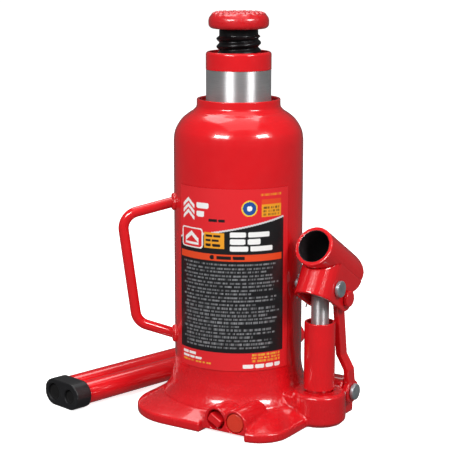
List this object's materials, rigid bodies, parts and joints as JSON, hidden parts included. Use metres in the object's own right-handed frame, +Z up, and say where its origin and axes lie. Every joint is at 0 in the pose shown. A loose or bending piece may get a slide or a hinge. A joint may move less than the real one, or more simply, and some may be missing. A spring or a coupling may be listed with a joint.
{
  "type": "bottle jack",
  "caption": "Hydraulic bottle jack with a square-footed base, round tank, extending screw and saddle, lever pump, side carry handle and a loose tubular pump handle.",
  "frame": {"origin": "on the ground under the ram's axis, at the middle of the base's underside", "axes": "+Z up along the ram, +X from the ram to the pump, -Y to the release valve and the lever socket's mouth"},
  "size_m": [0.1906, 0.2272, 0.262],
  "materials": {
    "red_paint": "glossy red enamel",
    "saddle_paint": "red enamel, slightly worn",
    "plug_paint": "orange-red lacquer",
    "ground_steel": "fine ground",
    "turned_steel": "turned",
    "oiled_steel": "blackened and oiled",
    "zinc_plate": "bright zinc plate",
    "spring_steel": "drawn wire",
    "copper": "soft copper",
    "black_rubber": "moulded",
    "urethane": "moulded urethane",
    "black_plastic": "moulded",
    "label_vinyl": "printed vinyl"
  },
  "bodies": {
    "jack_body": {"base": "red_paint", "tank_shell": "red_paint", "inner_cylinder": "turned_steel", "cylinder_gasket": "copper", "cylinder_gland": "oiled_steel", "ram_wiper_seal": "black_rubber", "carry_handle": "red_paint", "tank_label": "label_vinyl", "filler_plug": "black_rubber", "pump_cylinder": "red_paint", "pump_wiper_seal": "black_rubber", "lug_pin": "zinc_plate", "lug_pin_cotter": "zinc_plate", "release_ball": "ground_steel", "safety_valve_plug": "plug_paint", "safety_valve_spring": "spring_steel", "safety_valve_ball": "ground_steel", "discharge_ball": "ground_steel", "suction_ball": "ground_steel"},
    "ram": {"ram": "ground_steel", "ram_piston": "turned_steel", "piston_cup_seal": "urethane", "piston_retaining_ring": "spring_steel"},
    "stop_ring": {"screw_stop_ring": "turned_steel"},
    "screw": {"extension_screw": "oiled_steel", "saddle": "saddle_paint"},
    "links": {"link_right": "red_paint", "link_left": "red_paint"},
    "lever": {"handle_socket": "red_paint", "lever_bracket": "red_paint", "plunger_pin": "zinc_plate", "plunger_pin_cotter": "zinc_plate", "link_pin": "red_paint", "link_pin_cotter": "zinc_plate"},
    "plunger": {"pump_plunger": "ground_steel", "plunger_seal": "urethane"},
    "release_valve": {"release_valve_stem": "red_paint", "release_valve_o_ring": "black_rubber"},
    "handle_cap": {"handle_end_cap": "black_plastic"},
    "handle_front": {"handle_tube_front": "red_paint"},
    "handle_rear": {"handle_tube_rear": "red_paint"}
  },
  "joints": [
    {"name": "ram_lift", "type": "slide", "parent": "jack_body", "child": "ram", "axis": [0, 0, 1], "range_m": [-0.018, 0.128]},
    {"name": "screw_rise", "type": "slide", "parent": "ram", "child": "stop_ring", "axis": [0, 0, 1], "range_m": [-0.014, 0.06]},
    {"name": "screw_turn", "type": "hinge", "parent": "stop_ring", "child": "screw", "pos_m": [0, 0, 0.25], "axis": [0, 0, 1], "range_deg": [-1010, 4322]},
    {"name": "lever_pump", "type": "hinge", "parent": "links", "child": "lever", "pos_m": [0.062, 0.0115, 0.081], "axis": [1, 0, 0], "range_deg": [-8, 46]},
    {"name": "link_swing", "type": "hinge", "parent": "jack_body", "child": "links", "pos_m": [0.062, 0.021, 0.0165], "axis": [1, 0, 0], "range_deg": [-3, 0.6]},
    {"name": "plunger_stroke", "type": "slide", "parent": "jack_body", "child": "plunger", "axis": [0, 0, 1], "range_m": [-0.0103, 0.00179]},
    {"name": "release_valve_turn", "type": "hinge", "parent": "jack_body", "child": "release_valve", "pos_m": [0.0193, -0.05, 0.009], "axis": [0, -1, 0], "range_deg": [0, 540]},
    {"name": "handle_set_pick_up", "type": "slide", "parent": "jack_body", "child": "handle_cap", "axis": [0, 0, 1], "range_m": [0, 0.15]},
    {"name": "handle_front_pull", "type": "slide", "parent": "handle_cap", "child": "handle_front", "axis": [0.2079, 0.9781, -0.0056], "range_m": [0, 0.05]},
    {"name": "handle_rear_pull", "type": "slide", "parent": "handle_cap", "child": "handle_rear", "axis": [0.2079, 0.9781, -0.0056], "range_m": [0, 0.05]}
  ],
  "couplings": [
    {"joint": "screw_turn", "follows": "screw_rise", "rad_per_m": 1256.6},
    {"joint": "lever_pump", "follows": "plunger_stroke", "rad_per_m": -77.82},
    {"joint": "link_swing", "follows": "plunger_stroke", "rad_per_m": 4.825}
  ]
}
